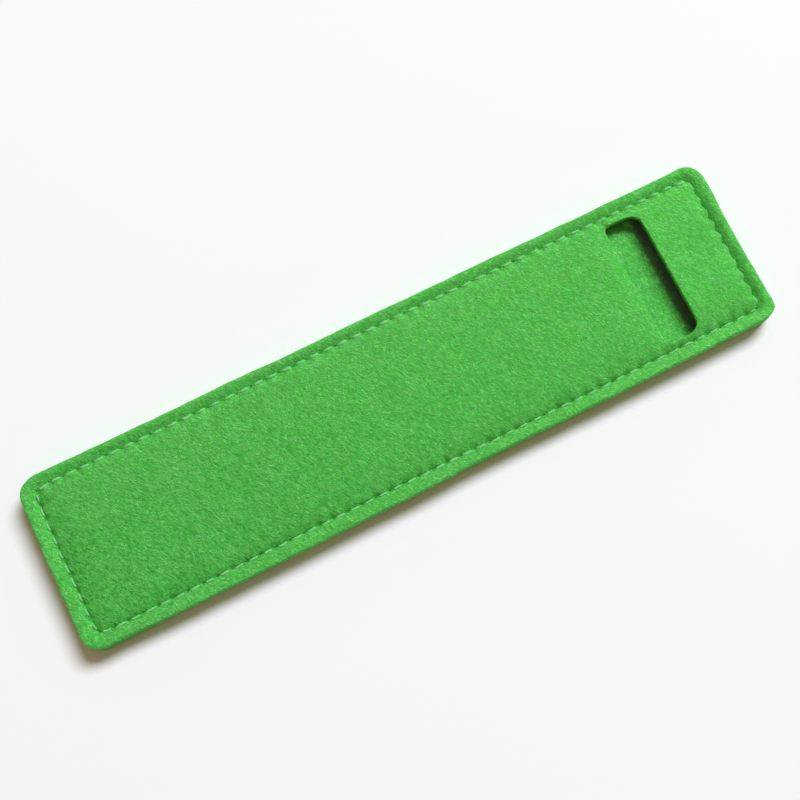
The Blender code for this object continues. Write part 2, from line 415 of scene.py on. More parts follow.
@dataclass
class Skin:
    """The points and faces of one closed surface while it is put together."""

    points: list[Array] = field(default_factory=list)
    faces: list[tuple[int, ...]] = field(default_factory=list)
    count: int = 0

    def add(self, points: Array) -> Array:
        """Add points.

        Args:
            points: their coordinates, one row each.

        Returns:
            Their numbers on the surface.
        """
        self.points.append(points)
        self.count += len(points)
        return np.arange(self.count - len(points), self.count)

    def bridge(self, rings: list[Array]) -> None:
        """Join each ring to the next, of as many points, with a strip of faces."""
        for ring, following in zip(rings, rings[1:]):
            strip = (ring, np.roll(ring, -1), np.roll(following, -1), following)
            self.faces += np.stack(strip, axis=1).tolist()

    def patch(self, rings: list[Array], flat: list[Array], inner: Array) -> None:
        """Fill the area between an outer ring and any rings inside it with triangles.

        Args:
            rings: the rings' point numbers, the outer one first.
            flat: the rings' points, in the same order.
            inner: further points inside the area, in space.
        """
        numbers = np.concatenate([*rings, self.add(inner)])
        places = np.concatenate([*flat, inner[:, :2]]) * 1000
        ends = np.cumsum([len(ring) for ring in rings])
        borders = [list(range(end - len(ring), end)) for end, ring in zip(ends, rings)]
        found = delaunay_2d_cdt([Vector(p) for p in places.tolist()], [], borders, 0, 1e-6, True)
        origin = [source[0] for source in found[3]]
        for triangle, within in zip(found[2], found[5]):
            if list(within) == [0]:
                self.faces.append(tuple(int(numbers[origin[corner]]) for corner in triangle))

    def make(self, name: str) -> bpy.types.Object:
        """Make the surface an object with its faces outwards.

        Args:
            name: the object's name.

        Returns:
            The new object, in the scene.
        """
        mesh = bpy.data.meshes.new(name)
        mesh.from_pydata(np.concatenate(self.points).tolist(), [], self.faces)
        shape = bmesh.new()
        shape.from_mesh(mesh)
        unused = [corner for corner in shape.verts if not corner.link_faces]
        bmesh.ops.delete(shape, geom=unused, context="VERTS")
        bmesh.ops.recalc_face_normals(shape, faces=shape.faces)
        shape.to_mesh(mesh)
        shape.free()
        mesh.shade_smooth()
        return new_object(name, mesh)


def new_object(name: str, data: bpy.types.ID | None) -> bpy.types.Object:
    """Make an object and put it in the scene.

    Args:
        name: its name.
        data: its mesh, curve, lamp or camera.

    Returns:
        The object.
    """
    piece = bpy.data.objects.new(name, data)
    bpy.context.scene.collection.objects.link(piece)
    return piece


def set_inputs(node: bpy.types.Node, inputs: dict) -> bpy.types.Node:
    """Set or link a node's inputs.

    Args:
        node: the node.
        inputs: a constant or an output for each input, by name or number.

    Returns:
        The same node.
    """
    for key, value in inputs.items():
        if isinstance(value, Output):
            node.id_data.links.new(value.socket, node.inputs[key])
        else:
            node.inputs[key].default_value = value
    return node


class Output:
    """A node's output. Sums with an output that is a number add Math nodes to its tree."""

    def __init__(self, socket: bpy.types.NodeSocket) -> None:
        """Keep the socket."""
        self.socket = socket

    def math(self, operation: str, *others: "Output | float") -> "Output":
        """Work out a number from this one and the others."""
        return Nodes(self.socket.id_data).math(operation, self, *others)

    def __add__(self, other: "Output | float") -> "Output":
        """Add a number."""
        return self.math("ADD", other)

    def __sub__(self, other: "Output | float") -> "Output":
        """Take a number away."""
        return self.math("SUBTRACT", other)

    def __rsub__(self, other: float) -> "Output":
        """Take this number away from a constant."""
        return Nodes(self.socket.id_data).math("SUBTRACT", other, self)

    def __mul__(self, other: "Output | float") -> "Output":
        """Multiply by a number."""
        return self.math("MULTIPLY", other)

    def __truediv__(self, other: "Output | float") -> "Output":
        """Divide by a number."""
        return self.math("DIVIDE", other)

    def ramp(self, low: float, high: float, start: float, end: float, smooth: bool = False) -> "Output":
        """Carry the number from one range to another and stop at its ends.

        Args:
            low: the first range's start.
            high: its end.
            start: the second range's start.
            end: its end.
            smooth: whether the number eases in and out.

        Returns:
            The new number.
        """
        values = {0: self, 1: low, 2: high, 3: start, 4: end}
        kind = "SMOOTHSTEP" if smooth else "LINEAR"
        return Nodes(self.socket.id_data).new("ShaderNodeMapRange", values, interpolation_type=kind)


class Nodes:
    """Short calls that add nodes to one shader or geometry tree."""

    def __init__(self, tree: bpy.types.NodeTree) -> None:
        """Keep the tree."""
        self.tree = tree

    def new(self, kind: str, inputs: dict | None = None, output: int | str = 0,
            **settings: str | bool | bpy.types.NodeTree) -> Output:
        """Add a node, set it up and link it.

        Args:
            kind: the node's type.
            inputs: constants or outputs for its inputs, by name or number.
            output: the output to go on from.
            **settings: the node's own properties.

        Returns:
            That output of the new node.
        """
        node = self.tree.nodes.new(kind)
        for name, value in settings.items():
            setattr(node, name, value)
        return Output(set_inputs(node, inputs or {}).outputs[output])

    def math(self, operation: str, *values: Output | float) -> Output:
        """Work out a number."""
        return self.new("ShaderNodeMath", dict(enumerate(values)), operation=operation)

    def vector(self, x: Output | float, y: Output | float, z: Output | float) -> Output:
        """Put three numbers together."""
        return self.new("ShaderNodeCombineXYZ", {0: x, 1: y, 2: z})

    def parts(self, vector: Output) -> list[Output]:
        """Take a vector apart."""
        apart = self.new("ShaderNodeSeparateXYZ", {0: vector}).socket.node
        return [Output(socket) for socket in apart.outputs]

    def shift(self, operation: str, first: Output, second: Output | Triple) -> Output:
        """Work out a vector from two."""
        return self.new("ShaderNodeVectorMath", {0: first, 1: second}, operation=operation)

    def scaled(self, vector: Output, size: Output | float) -> Output:
        """Make a vector longer or shorter."""
        return self.new("ShaderNodeVectorMath", {0: vector, "Scale": size}, operation="SCALE")

    def combed(self, vector: Output, angle: Output, stretch: Triple) -> Output:
        """Turn places back about Z and stretch them, for a noise with a grain."""
        turned = self.new("ShaderNodeVectorRotate", {"Vector": vector, "Angle": angle},
                          rotation_type="Z_AXIS", invert=True)
        return self.shift("MULTIPLY", turned, stretch)

    def noise(self, vector: Output, scale: Output | float, detail: float, roughness: float = 0.5,
              distortion: float = 0.0) -> Output:
        """Draw a noise.

        Args:
            vector: where it is read.
            scale: its patches for each metre.
            detail: its octaves.
            roughness: the share of the finer ones.
            distortion: how much it is warped.

        Returns:
            Its value.
        """
        return self.new("ShaderNodeTexNoise", {
            "Vector": vector, "Scale": scale, "Detail": detail, "Roughness": roughness,
            "Distortion": distortion,
        })

    def mix(self, share: Output | float, first: Output | Colour, second: Output | Colour,
            **settings: str | bool) -> Output:
        """Mix two colours."""
        return self.new("ShaderNodeMix", {0: share, 6: first, 7: second}, 2, data_type="RGBA", **settings)

    def colours(self, share: Output, first: Colour, last: Colour, middle: Colour | None = None) -> Output:
        """Draw a colour ramp.

        Args:
            share: the place on the ramp.
            first: its first colour.
            last: its last colour.
            middle: a colour halfway, if it has one.

        Returns:
            The colour.
        """
        drawn = self.new("ShaderNodeValToRGB", {"Fac": share}, "Color")
        stops = drawn.socket.node.color_ramp.elements
        stops[0].color = first
        stops[1].color = last
        if middle:
            stops.new(0.5).color = middle
        return drawn


class NodeGroup(Nodes):
    """A node group: each kind of group names its sockets, and fills itself in its results method."""

    name: str
    kind: str
    inputs: dict[str, float | int | str]
    outputs: dict[str, str]

    def __init__(self) -> None:
        """Build the group: an input has a number, or the type of its socket."""
        super().__init__(bpy.data.node_groups.new(self.name, self.kind))
        sockets = self.tree.interface
        for label, value in self.inputs.items():
            if isinstance(value, str):
                sockets.new_socket(label, in_out="INPUT", socket_type=value)
            else:
                kind = "NodeSocketInt" if isinstance(value, int) else "NodeSocketFloat"
                sockets.new_socket(label, in_out="INPUT", socket_type=kind).default_value = value
        for label, kind in self.outputs.items():
            sockets.new_socket(label, in_out="OUTPUT", socket_type=kind)
        given = self.tree.nodes.new("NodeGroupInput").outputs
        self.source = {label: Output(given[label]) for label in self.inputs}
        set_inputs(self.tree.nodes.new("NodeGroupOutput"), self.results())

    def results(self) -> dict[str, Output]:
        """Fill the group and give its outputs: a plain group has none."""
        return {}

    def chance(self, low: float, high: float, salt: float, number: Output | None = None) -> Output:
        """Draw a seeded random number for each thing.

        Args:
            low: the lowest number.
            high: the highest number.
            salt: what sets this draw apart from the others.
            number: what tells the things apart, if not their own order.

        Returns:
            The number.
        """
        values = {2: low, 3: high, "Seed": self.source["Seed"] + salt}
        if number is not None:
            values["ID"] = number
        return self.new("FunctionNodeRandomValue", values, 1, data_type="FLOAT")

    def dressed(self, geometry: Output) -> Output:
        """Realise instances and give the result its material."""
        whole = self.new("GeometryNodeRealizeInstances", {"Geometry": geometry})
        return self.new("GeometryNodeSetMaterial", {"Geometry": whole, "Material": self.source["Material"]})


class FibreGrain(NodeGroup):
    """The shader group that draws pressed wool: short streaks in two directions, tufts and slow mottling."""

    name = "fibre_grain"
    kind = "ShaderNodeTree"
    inputs = {"Vector": "NodeSocketVector", "Direction": 0.0, "Fineness": 1.0}
    outputs = {label: "NodeSocketFloat" for label in ("Shade", "Height", "Mottle", "Dye")}

    def results(self) -> dict[str, Output]:
        """Draw the grain.

        Returns:
            The group's outputs, by name.
        """
        streak = self.streaks(-0.32, 1.0, 0.0).math("MAXIMUM", self.streaks(0.38, 1.25, 3.7))
        fine = self.streaks(0.0, 2.3, 8.1)
        tufts = self.cloud(1150.0, 2.0, 3.0)
        return {
            "Shade": fine * 0.45 + streak * 0.8 + tufts * 0.5 - 0.45,
            "Height": streak * 0.7 + tufts * 0.8 + fine * 0.3,
            "Mottle": self.cloud(260.0, 2.0, 11.0),
            "Dye": self.cloud(1700.0, 1.0, 5.0).ramp(0.32, 0.68, 0.0, 1.0),
        }

    def laid(self, nodes: "Material", direction: float) -> dict[str, Output]:
        """Use the group in a material.

        Args:
            nodes: the material.
            direction: the angle of the wool's own direction.

        Returns:
            The group's outputs there, by name.
        """
        values = {"Vector": nodes.place(), "Direction": direction, "Fineness": 1.0}
        node = nodes.new("ShaderNodeGroup", values, node_tree=self.tree).socket.node
        return {socket.name: Output(socket) for socket in node.outputs}

    def streaks(self, turn: float, finer: float, offset: float) -> Output:
        """Draw streaks about one direction.

        Args:
            turn: the angle from the group's own direction.
            finer: how much finer than the usual the streaks are.
            offset: where the noise is read, so that no two sets match.

        Returns:
            The streaks' value.
        """
        grained = self.combed(self.source["Vector"], self.source["Direction"] + turn, (0.26, 1.0, 0.6))
        moved = self.shift("ADD", grained, (offset, offset, 0.0))
        return self.noise(moved, self.source["Fineness"] * finer * 2600.0, 2.0, 0.55, 0.35)

    def cloud(self, scale: float, detail: float, offset: float) -> Output:
        """Draw soft patches, read at an offset."""
        return self.noise(self.shift("ADD", self.source["Vector"], (offset, 0.0, offset)), scale, detail, 0.6)


class Material(Nodes):
    """A new material and short calls that fill it."""

    def __init__(self, name: str) -> None:
        """Start the material.

        Args:
            name: the material's name.
        """
        self.data = bpy.data.materials.new(name)
        self.data.use_nodes = True
        super().__init__(self.data.node_tree)

    def place(self) -> Output:
        """Read places in the object's own coordinates."""
        return self.new("ShaderNodeTexCoord", output="Object")

    def attribute(self, name: str) -> Output:
        """Read an attribute of the mesh."""
        return self.new("ShaderNodeAttribute", output="Fac", attribute_name=name)

    def bump(self, height: Output, strength: float, distance: float) -> Output:
        """Turn heights into a normal."""
        values = {"Height": height, "Strength": strength, "Distance": distance}
        return self.new("ShaderNodeBump", values, "Normal")

    def finish(self, values: dict) -> bpy.types.Material:
        """Set the surface's values, by name, and give the material."""
        set_inputs(self.tree.nodes["Principled BSDF"], values)
        return self.data


@dataclass(frozen=True)
class FeltFinish:
    """Dyed pressed felt: the colours of its hollows, its body and its lit fibres, of painted light and of
    painted shade.
    """

    deep: Colour = (0.001, 0.16, 0.001, 1.0)
    body: Colour = (0.020, 0.76, 0.018, 1.0)
    bright: Colour = (0.40, 1.0, 0.34, 1.0)
    yellower: Colour = (1.15, 1.0, 0.90, 1.0)
    bluer: Colour = (0.75, 1.0, 1.15, 1.0)
    # painted light: the paler colour added where the felt faces the lamp
    faded: Colour = (0.082, 0.16, 0.050, 1.0)
    gloss: Colour = (0.10, 1.0, 0.08, 1.0)
    sheen: Colour = (0.3, 1.0, 0.25, 1.0)
    # painted shade: the dark colour that the felt in the pocket is blended to
    recess: Colour = (0.090, 0.175, 0.14, 1.0)
    ground_deep: Colour = (0.060, 0.350, 0.053, 1.0)
    ground_lit: Colour = (0.081, 0.474, 0.072, 1.0)
    direction: float = radians(124)
    relief: float = 0.00018
    # painted light: paler over a broad slant towards +X and +Y, where the lamp stands
    handled: Span = (-0.090, 0.038, 0.0, 1.0)
    handled_slant: float = 2.2
    # painted light: paler bands at the left and near margins, the far part of the face, the slot's pocket lip
    # and the right and far rims, which face the lamp
    left_margin: Span = (-0.0846, -0.0838, 0.45, 0.0)
    near_margin: Span = (-0.0182, -0.0174, 0.6, 0.0)
    far_face: tuple[Span, Span] = ((0.003, 0.014, 0.0, 0.42), (0.0172, 0.0177, 0.42, 0.0))
    slot_lip: tuple[Span, Span] = ((0.0584, 0.0591, 0.0, 0.5), (0.0598, 0.0600, 0.5, 0.0))
    slot_lip_ends: Span = (0.0125, 0.0145, 0.5, 0.0)
    right_rim: Span = (0.0864, 0.0871, 0.0, 1.3)
    far_rim: Span = (0.0197, 0.0204, 0.0, 1.0)

    def rubbed(self, nodes: Material) -> Output:
        """Tell how much painted light makes the felt paler: over a broad slant towards the lamp, and at the
        margins, rims and lip that face it.

        Args:
            nodes: the material.

        Returns:
            The share of the paler colour of painted light that is added.
        """
        x, y, _ = nodes.parts(nodes.place())
        lip = x.ramp(*self.slot_lip[0]).math("MINIMUM", x.ramp(*self.slot_lip[1]))
        most = x.ramp(*self.left_margin)
        # each band is painted light on a part that faces the lamp
        for worn in (
            y.ramp(*self.near_margin),
            y.ramp(*self.far_face[0]).math("MINIMUM", y.ramp(*self.far_face[1])),
            lip.math("MINIMUM", y.math("ABSOLUTE").ramp(*self.slot_lip_ends)),
            x.ramp(*self.right_rim),
            y.ramp(*self.far_rim),
        ):
            most = most.math("MAXIMUM", worn)
        return (y * self.handled_slant + x).ramp(*self.handled) + most

    def colour(self, nodes: Material, shade: Output, hue: Output) -> Output:
        """Draw the felt's colour.

        Args:
            nodes: the material.
            shade: the place between the hollows, by 0, and the lit fibres, by 1.
            hue: the place between the bluer dye, by 0, and the yellower, by 1.

        Returns:
            The colour.
        """
        drawn = nodes.colours(shade, self.deep, self.bright, self.body)
        dyed = nodes.mix(1.0, drawn, nodes.mix(hue, self.bluer, self.yellower), blend_type="MULTIPLY")
        # painted light: the paler colour is added where the felt faces the lamp
        return nodes.mix(self.rubbed(nodes), dyed, self.faded, blend_type="ADD", clamp_factor=False,
                         clamp_result=True)

    def face_material(self, grain: FibreGrain) -> bpy.types.Material:
        """Make the material of a panel's faces, the matt ground that shows between the loose fibres.

        Args:
            grain: the shader group of pressed wool.

        Returns:
            The material.
        """
        nodes = Material("felt_ground")
        wool = grain.laid(nodes, self.direction)
        shade = (wool["Mottle"] * 0.35 + wool["Shade"]).ramp(0.34, 0.94, 0.0, 1.0)
        return nodes.finish({
            "Base Color": nodes.colours(shade, self.ground_deep, self.ground_lit),
            "Roughness": wool["Mottle"].ramp(0.3, 0.7, 0.88, 0.92),
            "Normal": nodes.bump(wool["Height"], 0.1, self.relief),
        })

    def recess_material(self, grain: FibreGrain) -> bpy.types.Material:
        """Make the material of the felt in the dark of the pocket, without gloss: painted shade.

        Args:
            grain: the shader group of pressed wool.

        Returns:
            The material.
        """
        nodes = Material("felt_recess")
        wool = grain.laid(nodes, self.direction)
        shade = (wool["Mottle"] * 0.35 + wool["Shade"]).ramp(0.2, 0.8, 0.0, 0.85)
        # painted shade: the attribute cut blends the felt's colour to the pocket's dark colour
        cut = nodes.attribute("cut")
        return nodes.finish({
            "Base Color": nodes.mix(cut, self.colour(nodes, shade, wool["Dye"]), self.recess),
            "Roughness": cut * 0.45 + wool["Mottle"].ramp(0.3, 0.7, 0.42, 0.52),
            "Normal": nodes.bump(wool["Height"], 0.4, self.relief),
            "Specular IOR Level": 0.1,
        })

    def fibre_material(self) -> bpy.types.Material:
        """Make the material of the loose fibres: each has its own tone and hue, and a gloss of their colour.

        Returns:
            The material.
        """
        nodes = Material("felt_fibre")
        along = nodes.noise(nodes.place(), 4200.0, 1.0)
        shade = along * 0.6 + nodes.attribute("tone") - 0.3
        return nodes.finish({
            "Base Color": self.colour(nodes, shade, nodes.attribute("hue")),
            "Roughness": along.ramp(0.3, 0.7, 0.52, 0.60),
            "IOR": 2.3,
            "Specular IOR Level": 1.0,
            "Specular Tint": self.gloss,
            "Sheen Weight": 0.08,
            "Sheen Tint": self.sheen,
        })


@dataclass(frozen=True)
class ThreadFinish:
    """Polyester sewing thread, paler than the felt and matt."""

    shadow: Colour = (0.160, 0.54, 0.170, 1.0)
    light: Colour = (0.217, 0.66, 0.230, 1.0)
    relief: float = 0.00003

    def material(self) -> bpy.types.Material:
        """Make the material.

        Returns:
            The material.
        """
        nodes = Material("thread_strands")
        strands = nodes.noise(nodes.place(), 5200.0, 2.0, 0.6)
        shade = nodes.noise(nodes.place(), 420.0, 1.0) * 0.6 + strands * 0.6
        return nodes.finish({
            "Base Color": nodes.colours(shade.ramp(0.4, 0.8, 0.0, 1.0), self.shadow, self.light),
            "Roughness": strands.ramp(0.3, 0.7, 0.88, 0.92),
            "Normal": nodes.bump(strands, 0.1, self.relief),
        })


@dataclass
class FeltPanel:
    """One die-cut felt layer, pressed into a groove along the seam and pierced at every stitch."""

    form: CaseForm
    side: Side
    name: str
    outer_level: float
    inner_level: float
    wander: Wander = Wander()
    rim_width: Sides = (0.00026, 0.0007, 0.0007, 0.0004)
    rim_height: Sides = (0.0003, 0.0007, 0.0007, 0.0004)
    inner_rim: float = 0.0002
    bulge: float = 0.0001
    wear: float = 0.0004
    margin_reach: tuple[float, float] = (0.0034, 0.0018)
    margin_lift: Sides = (0.0008, 0.0, 0.0, 0.0006)
    overhang: Sides = (0.0, 0.0, 0.0, 0.0)
    press: float = 0.0006
    deeper: Sides = (0.0, 0.0006, 0.00008, 0.0)
    bank: Sides = (0.0003, 0.0004, 0.0004, 0.0004)
    slope: Sides = (0.0007, 0.0009, 0.0010, 0.0003)
    swell: float = 0.0012
    swell_reaches: Triple = (0.00024, 0.0013, 0.0075)
    scallop: Sides = (0.0003, 0.00018, 0.0003, 0.0004)
    scallop_span: Span = (-0.0004, 0.0004, 0.0010, 0.0026)
    hole_depth: float = 0.0006
    hole_reach: tuple[float, float] = (0.00048, 0.00026)
    hole_variation: float = 0.5
    thread_bed: Triple = (0.00024, 0.0006, 0.00006)
    lumps: tuple[Ripple, ...] = (
        Ripple(0.0062, 0.00005, 21), Ripple(0.0023, 0.00002, 22), Ripple(0.0009, 0.000012, 23),
    )
    loop_steps: tuple[float, ...] = (
        0.0, 0.036, 0.075, 0.118, 0.17, 0.24, 0.32, 0.41, 0.5, 0.59, 0.68, 0.76, 0.83, 0.882, 0.925, 0.964,
    )
    face_insets: tuple[float, ...] = (
        0.00125, 0.00143, 0.0016, 0.0019, 0.00215, 0.00238, 0.00258, 0.00275, 0.0029,
        0.00303, 0.00315, 0.00327, 0.00339, 0.00351, 0.00364, 0.00378, 0.00393, 0.0041,
    )
    grid_spacing: float = 0.0006
    inner_spacing: float = 0.0018

    def seam_frame(self, x: Array, y: Array) -> tuple[Array, Array, Array]:
        """Find each point's place beside its nearest needle hole.

        Args:
            x: the points' first coordinates.
            y: their second coordinates.

        Returns:
            The distance along the seam, the distance across it, and the number of the hole.
        """
        holes = self.form.holes()
        ahead = np.roll(holes, -1, axis=0) - np.roll(holes, 1, axis=0)
        ahead /= np.linalg.norm(ahead, axis=1)[:, None]
        nearest = np.empty(len(x), dtype=int)
        for start in range(0, len(x), 20000):
            part = slice(start, start + 20000)
            gap = (x[part, None] - holes[None, :, 0]) ** 2 + (y[part, None] - holes[None, :, 1]) ** 2
            nearest[part] = gap.argmin(axis=1)
        offset = np.stack([x, y], axis=1) - holes[nearest]
        along = (offset * ahead[nearest]).sum(axis=1)
        across = offset[:, 1] * ahead[nearest, 0] - offset[:, 0] * ahead[nearest, 1]
        return along, across, nearest

    def margin(self, x: Array, y: Array, beyond: Array) -> Array:
        """Give the margin's profile from the groove, by 1, to the cut edge, by 0: it differs at +X and +Y.

        Args:
            x: the points' first coordinates.
            y: their second coordinates.
            beyond: how far they lie outside the seam line.

        Returns:
            The share of the groove's depth at each point.
        """
        turned = self.form.upper_right(x, y)
        ramp = 0.7 * np.clip(1 - beyond / self.margin_reach[0], 0, 1) ** 1.4 + 0.3 * decay(beyond, 0.0004)
        round_edge = 1 - np.sin(np.clip(beyond / self.margin_reach[1], 0, 1) * pi / 2)
        return ramp * (1 - turned) + round_edge * turned

    def inside_seam(self, x: Array, y: Array, past: Array) -> Array:
        """Give the depth of the outer face inside the seam line.

        Args:
            x: the points' first coordinates.
            y: their second coordinates.
            past: how far they lie inside the seam line.

        Returns:
            The depths, below 0 where the face stands higher than its level.
        """
        if self.side is Side.BACK:
            return self.press * decay(past, 0.0011)
        bank, slope, crown = (1 - decay(past, reach) for reach in self.swell_reaches)
        steep = self.form.by_side(x, y, self.slope)
        raised = self.form.by_side(x, y, self.bank) * bank + steep * slope + (self.swell - steep) * crown
        return self.press - raised

    def pressed(self, x: Array, y: Array) -> Array:
        """Give the depth of the outer face under its level, from groove, stitches and rim.

        Args:
            x: the points' first coordinates.
            y: their second coordinates.

        Returns:
            The depths, below 0 where the face stands higher.
        """
        form = self.form
        past = form.past_seam(x, y) + form.by_side(x, y, self.overhang)
        along, across, nearest = self.seam_frame(x, y)
        draws = np.random.default_rng(31).uniform(-1, 1, len(form.holes()))
        lobe = form.by_side(x, y, self.scallop) * (1 + self.hole_variation * draws[nearest])
        waved = past - lobe * np.cos(tau * along / form.stitch_pitch) * hump(self.scallop_span, past)
        waved = np.maximum(waved, 0)
        raised = form.by_side(x, y, self.margin_lift) if self.side is Side.FRONT else 0.0
        deeper = form.by_side(x, y, self.deeper)
        outside = (self.press + deeper + raised) * self.margin(x, y, np.maximum(-past, 0)) - raised
        depth = np.where(past < 0, outside, self.inside_seam(x, y, waved) + deeper * decay(waved, 0.0003))
        bed_width, bed_gap, bed_depth = self.thread_bed
        bed = np.exp(-(across / bed_width) ** 2) * (1 - np.exp(-(along / bed_gap) ** 2))
        well = np.exp(-((along / self.hole_reach[0]) ** 2 + (across / self.hole_reach[1]) ** 2) ** 1.4)
        depth = depth + bed_depth * bed + self.hole_depth * well
        for lump in self.lumps:
            depth = depth + lump.at(x, y)
        return depth

    def lip(self, x: Array, y: Array) -> Array:
        """Give what a panel's slot does to its outer face: nothing where it has none."""
        return np.zeros_like(x)

    def outer_height(self, x: Array, y: Array) -> Array:
        """Give the height of the outer face."""
        return self.outer_level - self.side.value * (self.pressed(x, y) + self.lip(x, y))

    def inner_height(self, x: Array, y: Array) -> Array:
        """Give the height of the face that meets the other panel, a little worn down under the slot."""
        near = 1 - ease(-0.001, 0.003, self.form.outside_slot(x, y))
        return self.inner_level + self.side.value * self.wear * near

    def placed(self, flat: Array, heights: Array | float, outset: float = 0.0) -> Array:
        """Put flat points at their heights and let them stray.

        Args:
            flat: the points, one row each.
            heights: their heights.
            outset: how far the side wall bulges there.

        Returns:
            The points in space.
        """
        outward = (flat / np.array(self.form.half)) ** 9
        outward /= np.maximum(np.linalg.norm(outward, axis=1), TINY)[:, None]
        strayed = flat + self.wander.shift(self.form, *flat.T, self.side) + outward * outset
        return np.column_stack([strayed, np.broadcast_to(heights, len(flat))])

    def strayed(self, flat: Array) -> Array:
        """Let flat points stray, still flat."""
        return self.placed(flat, 0.0)[:, :2]

    def hex_grid(self, spacing: float, room: Callable[[Array, Array], Array], margin: float) -> Array:
        """Scatter points evenly over the panel.

        Args:
            spacing: the distance between them.
            room: a function of x and y that tells how much room there is for a point.
            margin: the least room that a point needs.

        Returns:
            The points, one row each.
        """
        columns = np.arange(-self.form.length / 2, self.form.length / 2, spacing)
        rows = np.arange(-self.form.width / 2, self.form.width / 2, spacing * 0.866)
        x, y = np.meshgrid(columns, rows)
        x = x + spacing / 2 * (np.arange(len(rows)) % 2)[:, None]
        jitter = np.random.default_rng(41).uniform(-0.18, 0.18, (2, *x.shape)) * spacing
        x, y = (x + jitter[0]).ravel(), (y + jitter[1]).ravel()
        return np.stack([x, y], axis=1)[room(x, y) > margin]

    def slot_rings(self, skin: Skin) -> tuple[list[Array], list[Array]]:
        """Line the slot's cut edge: a panel without a slot has no rings."""
        return [], []

    def room(self, x: Array, y: Array) -> Array:
        """Measure how far points lie inside the area between the face's rings."""
        return self.form.inset(x, y) - self.face_insets[-1]

    def inner_room(self, x: Array, y: Array) -> Array:
        """Measure how far points lie inside the inner face's rings."""
        return self.form.inset(x, y) - self.inner_rim - 0.0006

    def edge_rings(self, skin: Skin) -> list[Array]:
        """Go from the face's flat part over the groove, the rim and the side wall to the inner face.

        Args:
            skin: the surface that the rings are added to.

        Returns:
            The numbers of the rings' points, from the outer face to the inner one.
        """
        rings = []
        for inset in reversed(self.face_insets):
            flat = self.form.loop(inset, self.loop_steps)
            rings.append(skin.add(self.placed(flat, self.outer_height(*flat.T))))
        outline = self.form.loop(0.0, self.loop_steps)
        width = self.form.by_side(*outline.T, self.rim_width)
        drop = self.side.value * self.form.by_side(*outline.T, self.rim_height)
        for turn in np.linspace(pi / 2, 0, 6):
            flat = self.form.loop(width * (1 - np.cos(turn)), self.loop_steps)
            rings.append(skin.add(self.placed(flat, self.outer_height(*flat.T) - drop * (1 - np.sin(turn)))))
        rise = self.side.value * self.inner_rim
        top = self.outer_height(*outline.T) - drop
        bottom = self.inner_height(*outline.T) + rise
        for share in (0.33, 0.67):
            rings.append(skin.add(self.placed(outline, top * (1 - share) + bottom * share, self.bulge)))
        for turn in (0.0, pi / 4, pi / 2):
            flat = self.form.loop(self.inner_rim * (1 - np.cos(turn)), self.loop_steps)
            rings.append(skin.add(self.placed(flat, bottom - rise * np.sin(turn))))
        return rings

    def build(self) -> bpy.types.Object:
        """Build the whole panel as one closed surface.

        Returns:
            The panel's object.
        """
        skin = Skin()
        rings = self.edge_rings(skin)
        skin.bridge(rings)
        slot_ends, slot_flat = self.slot_rings(skin)
        grid = self.hex_grid(self.grid_spacing, self.room, 0.0003)
        near = self.form.loop(self.face_insets[-1] + 0.00028, self.loop_steps[::2])
        near = near[self.room(*near.T) > 0.0001]
        inner = np.concatenate([near, grid])
        coarse = self.hex_grid(self.inner_spacing, self.inner_room, 0.0)
        faces = (
            (rings[0], self.face_insets[-1], slice(0, 1), self.placed(inner, self.outer_height(*inner.T))),
            (rings[-1], self.inner_rim, slice(1, 2), self.placed(coarse, self.inner_height(*coarse.T))),
        )
        for ring, inset, end, points in faces:
            flat = self.strayed(self.form.loop(inset, self.loop_steps))
            skin.patch([ring, *slot_ends[end]], [flat, *slot_flat[end]], points)
        piece = skin.make(self.name + "_felt")
        self.mark(piece)
        return piece

    def mark(self, piece: bpy.types.Object) -> None:
        """Note on the mesh where shade is painted in the dark of the pocket and where loose fibres grow.

        The attribute "cut" is the share of painted shade, 1 in the dark of the pocket; a face there takes the
        second material. The attribute "open" is 1 where fibres would show: all over, but for the painted
        shade and the faces that meet.

        Args:
            piece: the panel's object.
        """
        places = np.empty(len(piece.data.vertices) * 3)
        piece.data.vertices.foreach_get("co", places)
        x, y, z = places.reshape(-1, 3).T
        inset = self.form.inset(x, y)
        outer = np.abs(z - self.inner_level) > self.wear + 0.0002
        beside = 1 - ease(0.0008, 0.0018, self.form.outside_slot(x, y))
        share = np.where(outer | (inset < 0.0006), 1.0, beside)
        grounded = (z < 0.00045) & (inset < 0.0004)
        # painted shade: the share by which the felt is darkened in the dark of the pocket; fibres are left
        # out there
        cut = self.cut_wall(x, y, z)
        share = np.where(grounded, 0.0, share * (1 - cut))
        for name, values in (("open", share), ("cut", cut)):
            piece.data.attributes.new(name, "FLOAT", "POINT").data.foreach_set("value", values)
        # faces mostly in the painted shade take the painted-shade material
        for face in piece.data.polygons:
            face.material_index = int(cut[list(face.vertices)].mean() > 0.6)

    def cut_wall(self, x: Array, y: Array, z: Array) -> Array:
        """Tell, by 1, where shade is painted on the pocket's floor: in the slot next to the header and along
        its far end, and past it in the dark of the pocket.

        Args:
            x: the points' first coordinates.
            y: their second coordinates.
            z: their heights.

        Returns:
            The shares, between 0 and 1.
        """
        reach = x - self.form.slot_centre - self.form.slot_half[0]
        under = ease(-0.0009, -0.0002, y - self.form.slot_half[1]) * ease(-0.0095, -0.0055, reach)
        inside = ease(0.0015, 0.0025, z) * ease(0.0010, 0.0030, self.form.inset(x, y))
        return np.maximum(ease(-0.0037, -0.0012, reach), 0.9 * under) * inside


